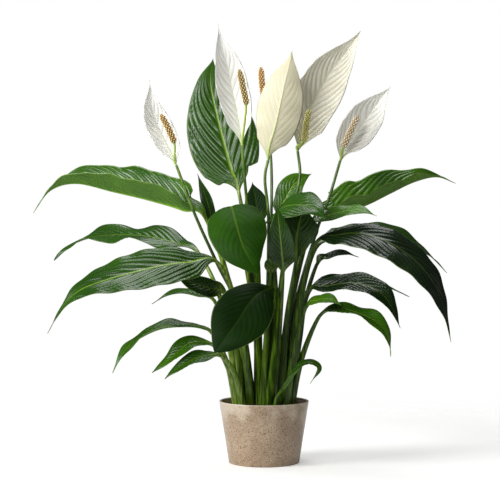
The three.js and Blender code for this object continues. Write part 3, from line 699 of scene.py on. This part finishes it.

# ---- The flower stalks ----
# Six smooth round stalks, each from the soil to the foot of its flower. They are green, a little
# paler towards the top.
# scape: the flower stalk's points. spathe: the midrib of the white sheath behind the flowers.
# spadix: the spike of tiny flowers. The other values are as for leaves, except that tone goes from
# 0, white, to 1, cream, and face is where the hollow side of the sheath looks. The tone was set to
# how white each sheath looks, so it is partly the sheath's own colour and partly painted shade.
FLOWERS = {
    "far_left": dict(
        scape=[(-.014, .021, .084), (-.038, .028, .240), (-.080, .021, .334), (-.115, .009, .412),
               (-.147, .000, .497)],
        spathe=[(-.153, .008, .514), (-.169, .016, .545), (-.183, .018, .575), (-.191, .014, .605),
               (-.192, .006, .641)],
        spadix=[(-.150, -.010, .532), (-.159, -.014, .556), (-.172, -.014, .581)],
        width=.024, face=(.2, -1, .15), fold=(12, 12), curl=(20, 20), peak=.42, point=2.2, tone=0,
        relief=.5),
    "left": dict(
        scape=[(-.010, -.006, .084), (-.016, -.010, .240), (-.026, -.022, .400), (-.034, -.034, .490),
               (-.036, -.038, .527)],
        spathe=[(-.040, -.026, .554), (-.046, -.016, .590), (-.054, -.012, .625), (-.062, -.018, .664),
               (-.072, -.028, .698), (-.076, -.036, .730)],
        spadix=[(-.030, -.052, .590), (-.035, -.056, .620), (-.041, -.056, .650)],
        width=.029, face=(.1, -1, .1), fold=(12, 12), curl=(20, 20), peak=.45, point=2, tone=.05,
        relief=.45),
    "back": dict(
        scape=[(.004, .016, .084), (.008, .024, .240), (.013, .042, .420), (.013, .050, .500),
               (.008, .052, .550)],
        spathe=[(.012, .060, .566), (.022, .070, .594), (.036, .076, .630), (.048, .076, .660)],
        spadix=[(.000, .046, .616), (-.003, .046, .640), (-.005, .048, .668)],
        width=.019, face=(-.5, -1, .1), fold=(12, 12), curl=(20, 20), peak=.42, point=2, tone=.3,
        relief=.5),
    "front": dict(
        scape=[(.005, -.012, .084), (.005, -.020, .240), (.007, -.040, .400), (.001, -.048, .470),
               (.006, -.050, .502)],
        spathe=[(.009, -.066, .526), (.017, -.075, .552), (.025, -.080, .588), (.033, -.079, .626),
               (.041, -.075, .658), (.045, -.071, .678)],
        spadix=[(.014, -.046, .530), (.022, -.048, .556), (.028, -.050, .586)],
        width=.038, face=(.1, 1, .1), fold=(8, 8), curl=(15, 15), peak=.47, point=1.5, tone=1,
        relief=.3),
    "tall_right": dict(
        scape=[(.011, .000, .084), (.022, .002, .250), (.042, -.008, .400), (.056, -.012, .456),
               (.060, -.010, .486), (.056, -.010, .520)],
        spathe=[(.062, .000, .540), (.076, .010, .590), (.096, .018, .627), (.112, .021, .655),
               (.129, .020, .677), (.148, .014, .702), (.162, .006, .723)],
        spadix=[(.065, -.026, .533), (.069, -.030, .558), (.074, -.032, .587)],
        width=.042, face=(0, -1, .1), fold=(20, 6), curl=(20, 14), peak=.42, point=1.3, tone=.6,
        relief=1),
    "far_right": dict(
        scape=[(.027, .011, .084), (.050, .008, .250), (.086, .000, .380), (.108, -.006, .440),
               (.127, -.010, .504)],
        spathe=[(.134, -.002, .524), (.152, .006, .548), (.172, .008, .576), (.191, .002, .602),
               (.211, -.010, .628)],
        spadix=[(.131, -.022, .524), (.142, -.028, .550), (.155, -.030, .577)],
        width=.033, face=(-.3, -1, .2), fold=(36, 4), curl=(14, 10), peak=.45, point=1.6, tone=.2,
        relief=.9),
}

SCAPE_RADIUS = (.0034, .0023)  # at the soil and at the flower
SCAPE_SPACING = .004
SCAPE_SIDES = 32
SCAPE_TONES = ((0, (24, 42, 4)), (.5, (58, 92, 16)), (1, (136, 168, 70)))


def stem(line, radius, sides):
    """Rings round a line: the place at angle a is out by radius cos a and across by radius sin a."""
    out, across = carried(line, (0, -1, 0), 0)
    angle = np.linspace(0, 2 * np.pi, sides, endpoint=False)
    radius = np.broadcast_to(radius, (len(line), sides))[..., None]
    return (line[:, None] + radius * np.cos(angle)[:, None] * out[:, None]
            + radius * np.sin(angle)[:, None] * across[:, None])


scape_finish, wire = new_finish("flower_stalk")
place = wire.node("TexCoord", output="Object")
share = wire.field("share")
streak = wire.noise(place.node("VectorMath", {0: place, 1: (1, 1, .06)}, operation="MULTIPLY"), 400, 2)
wire.surface({
    "Base Color": (share.between(.55, 1) * .55 + streak * 1.1 - .4).ramp(SCAPE_TONES),
    "Roughness": streak * .15 + .34,
    "Coat Weight": .2,
    "Coat Roughness": .2,
    "Normal": streak.bump(.0003, .6),
})

for name, flower in FLOWERS.items():
    line = smooth_line(flower["scape"])
    places = np.linspace(0, lengths(line)[-1], int(lengths(line)[-1] / SCAPE_SPACING))
    share = (places / places[-1])[:, None]
    line = at_lengths(line, places)
    flower["top"], flower["ahead"] = line[-1], unit(line[-1] - line[-3])
    rings = stem(line, mixed(*SCAPE_RADIUS, share), SCAPE_SIDES)
    piece(closed_mesh(name + "_flower_stalk", rings, {"share": share}), scape_finish, "scape_green",
          "scape_" + name)

# ---- The white sheaths ----
# Each flower stands in front of one white leaf, thin and softly ribbed, with a green midrib and a
# green tint at its foot and tip. It grows from the stalk's end by a narrow claw.
SPATHE_SKIN = .0008
CLAW_RADIUS = .0012
SPATHE_SPACING = .0011
SPATHE_RIDGE = .002
SPATHE_PITCH = .0175
SPATHE_SLANT = 1.5
SPATHE_WHITE = (253, 253, 248)
SPATHE_CREAM = (222, 216, 182)
SPATHE_GROOVE_SHADE = (216, 210, 200)
SPATHE_GREEN = (176, 200, 96)
GAP = .0003

spathe_finish, wire = new_finish("white_sheath")
place = wire.node("TexCoord", output="Object")
share, rib, vein, under = (wire.field(name) for name in ("share", "rib", "vein", "under"))
cloud = wire.noise(place, 40, 3)
fleck = wire.noise(place, 500, 2)
vein_line = abs(vein.math("FRACT") - .5).between(.32, .5)
white = (wire.field("tone") + (cloud - .5) * .3).mix(colour(*SPATHE_WHITE), colour(*SPATHE_CREAM))
# Painted shade: the sheath is painted greyer along its vein grooves, less towards the tip.
white = (vein_line * share.between(.95, .65) * .5).mix(white, colour(*SPATHE_GROOVE_SHADE))
foot, tip = share.between(.16, 0) * .75, share.between(.9, 1) * .4
green = foot + tip + rib.between(1, .3) * share.between(.8, .1) * .6
white = (green.math("MINIMUM", .9) * (under * .3 + .7)).mix(white, colour(*SPATHE_GREEN))
wire.surface({
    "Base Color": white,
    "Roughness": .44 + fleck * .12,
    "Coat Weight": .08,
    "Normal": (vein_line * -1.5).bump(.0002, .6),
})

for name, flower in FLOWERS.items():
    behind = -unit(np.array(flower["face"])) * (SCAPE_RADIUS[1] + CLAW_RADIUS + GAP)
    points = [flower["top"] + behind, *flower["spathe"]]
    rings, fields = blade(points, 0, flower, (CLAW_RADIUS, CLAW_RADIUS), SPATHE_SKIN, SPATHE_SPACING,
                          SPATHE_PITCH, SPATHE_SLANT, SPATHE_RIDGE * flower["relief"])
    piece(closed_mesh(name + "_sheath", rings, fields), spathe_finish, "spathe_white", "spathe_" + name)

# ---- The flower spikes ----
# A short bare foot that carries a fleshy spike, packed with tiny knobbly flowers in slanting rows.
# The spikes ripen from cream and green to tan and orange, and two carry painted light.
SPADIX_RADIUS = .0054
STIPE_RADIUS = .002
KNOBS_ROUND = 6
KNOB_PITCH = .0034  # from one row of knobs to the next
KNOB_HEIGHT = .0032
SPADIX_SPACING = .0004
SPADIX_SIDES = 100
SPADIX_LEAST_RADIUS = .0002
# The tall_right and far_right spikes are painted paler than the rest: painted light against their shade.
SPIKES = {
    "far_left": ((150, 112, 44), (236, 212, 158)),
    "left": ((132, 104, 44), (236, 218, 166)),
    "back": ((166, 116, 58), (250, 218, 158)),
    "front": ((150, 124, 60), (230, 214, 160)),
    "tall_right": ((232, 220, 110), (255, 255, 214)),
    "far_right": ((190, 156, 108), (255, 250, 226)),
}

for name, flower in FLOWERS.items():
    onward = [flower["top"] + way * flower["ahead"] for way in (2 * GAP, 4 * STIPE_RADIUS)]
    line = smooth_line(onward + flower["spadix"])
    reached = lengths(line)
    places = np.r_[np.arange(0, reached[-1] - SPADIX_RADIUS, SPADIX_SPACING),
                   reached[-1] - SPADIX_RADIUS * np.linspace(1, 0, 24) ** 2]
    bare = reached[2 * LINE_DETAIL] / reached[-1]
    share = places[:, None] / reached[-1]
    angle = np.linspace(0, 2 * np.pi, SPADIX_SIDES, endpoint=False)
    slope = np.pi * places[:, None] / KNOB_PITCH
    knob = (1 + np.cos(KNOBS_ROUND * angle + slope)) * (1 + np.cos(KNOBS_ROUND * angle - slope)) / 4
    spike = step_up(bare, bare + .06, share)
    end = np.sqrt(np.clip((1.01 - share) * 12, 0, 1))
    knobbly = (SPADIX_RADIUS * mixed(1, .86, share) + KNOB_HEIGHT * (np.sqrt(knob) - .6)) * end
    radius = np.maximum(mixed(STIPE_RADIUS, knobbly, spike), SPADIX_LEAST_RADIUS)

    low, high = SPIKES[name]
    spike_finish, wire = new_finish(name + "_spike")
    grain = wire.noise(wire.node("TexCoord", output="Object"), 900, 3)
    knobs, spiked = wire.field("knob"), wire.field("spiked")
    # Paler on the knobs' tops and darker in the hollows between them: painted highlight and painted shade.
    tan = (knobs.between(.02, .6) * .9 + (grain - .5) * .4).mix(colour(*low), colour(*high))
    wire.surface({
        "Base Color": spiked.mix(colour(*SPATHE_GREEN), tan),
        "Roughness": .7,
        "Normal": grain.bump(.0003),
    })
    rings = stem(at_lengths(line, places), radius, SPADIX_SIDES)
    piece(closed_mesh(name + "_spike", rings, {"knob": knob, "spiked": spike}), spike_finish, "spadix_cream",
          "spadix_" + name)

# ---- The studio ----
# A pale floor that fades into a white room, a large soft light at the upper left, weaker ones in
# front, above and at the right, and a level camera at the height of the leaves.
FLOOR_RADIUS = 2.5
FLOOR_TOP = -.0002
FLOOR_UNDERSIDE = -.02
CAMERA_PLACE = (-.0235, -2.2, .355)
CAMERA_LENS = 94.5

scene = bpy.context.scene
scene.view_settings.view_transform = "Standard"

floor_profile = np.stack([np.linspace(FLOOR_RADIUS, POLE, 40), np.full(40, FLOOR_TOP)], 1)
floor_profile = np.vstack([[(POLE, FLOOR_UNDERSIDE), (FLOOR_RADIUS, FLOOR_UNDERSIDE)], floor_profile])
floor_mesh = closed_mesh("studio_floor", turned(floor_profile, 96))
floor = bpy.data.objects.new("studio_floor", floor_mesh)
bpy.context.collection.objects.link(floor)
pale, wire = new_finish("pale_floor")
floor_mesh.materials.append(pale)
place = wire.node("TexCoord", output="Object")
far = place.node("VectorMath", {0: place}, output="Value", operation="LENGTH").between(.3, 1.1)
output = wire.tree.nodes["Material Output"]
shader = wire.tree.nodes["Principled BSDF"]
seen = wire.node("LightPath", output="Is Camera Ray")
wire.surface({
    "Base Color": colour(240, 240, 238),
    "Roughness": .9,
    "Emission Color": (seen * .32).mix((0, 0, 0, 1), (1, 1, 1, 1)),
    "Emission Strength": 1,
})
clear = wire.node("BsdfTransparent")
faded = wire.node("MixShader", {0: far, 1: Wire(wire.tree, shader.outputs[0]), 2: clear})
wire.tree.links.new(faded.socket, output.inputs["Surface"])
floor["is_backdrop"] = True

room = bpy.data.worlds.new("white_room")
room.use_nodes = True
scene.world = room
air = Wire(room.node_tree)
seen = air.node("LightPath", output="Is Camera Ray")
strength = seen * .9 + .1
backdrop = room.node_tree.nodes["Background"]
backdrop.inputs["Color"].default_value = (1, 1, 1, 1)
room.node_tree.links.new(strength.socket, backdrop.inputs["Strength"])

for name, spot, aim, size, watts in [
    ("key", (-2.4, -1.1, 1.3), (0, 0, .35), 1.4, 79),
    ("front", (-.5, -1.2, 1.0), (.03, 0, .62), .5, 8),
    ("top", (.05, .4, 2.2), (0, 0, .35), 1.2, 26),
    ("fill", (1.8, -1.6, .8), (0, 0, .5), 1.0, 2),
]:
    lamp = bpy.data.lights.new(name + "_light", "AREA")
    lamp.size = size
    lamp.energy = watts
    light = bpy.data.objects.new(lamp.name, lamp)
    light.location = spot
    light.visible_camera = False
    light.rotation_euler = (Vector(aim) - Vector(spot)).to_track_quat("-Z", "Y").to_euler()
    bpy.context.collection.objects.link(light)

lens = bpy.data.cameras.new("camera")
lens.lens = CAMERA_LENS
camera = bpy.data.objects.new("camera", lens)
camera.location = CAMERA_PLACE
camera.rotation_euler = (np.pi / 2, 0, 0)
bpy.context.collection.objects.link(camera)
scene.camera = camera

low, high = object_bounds()
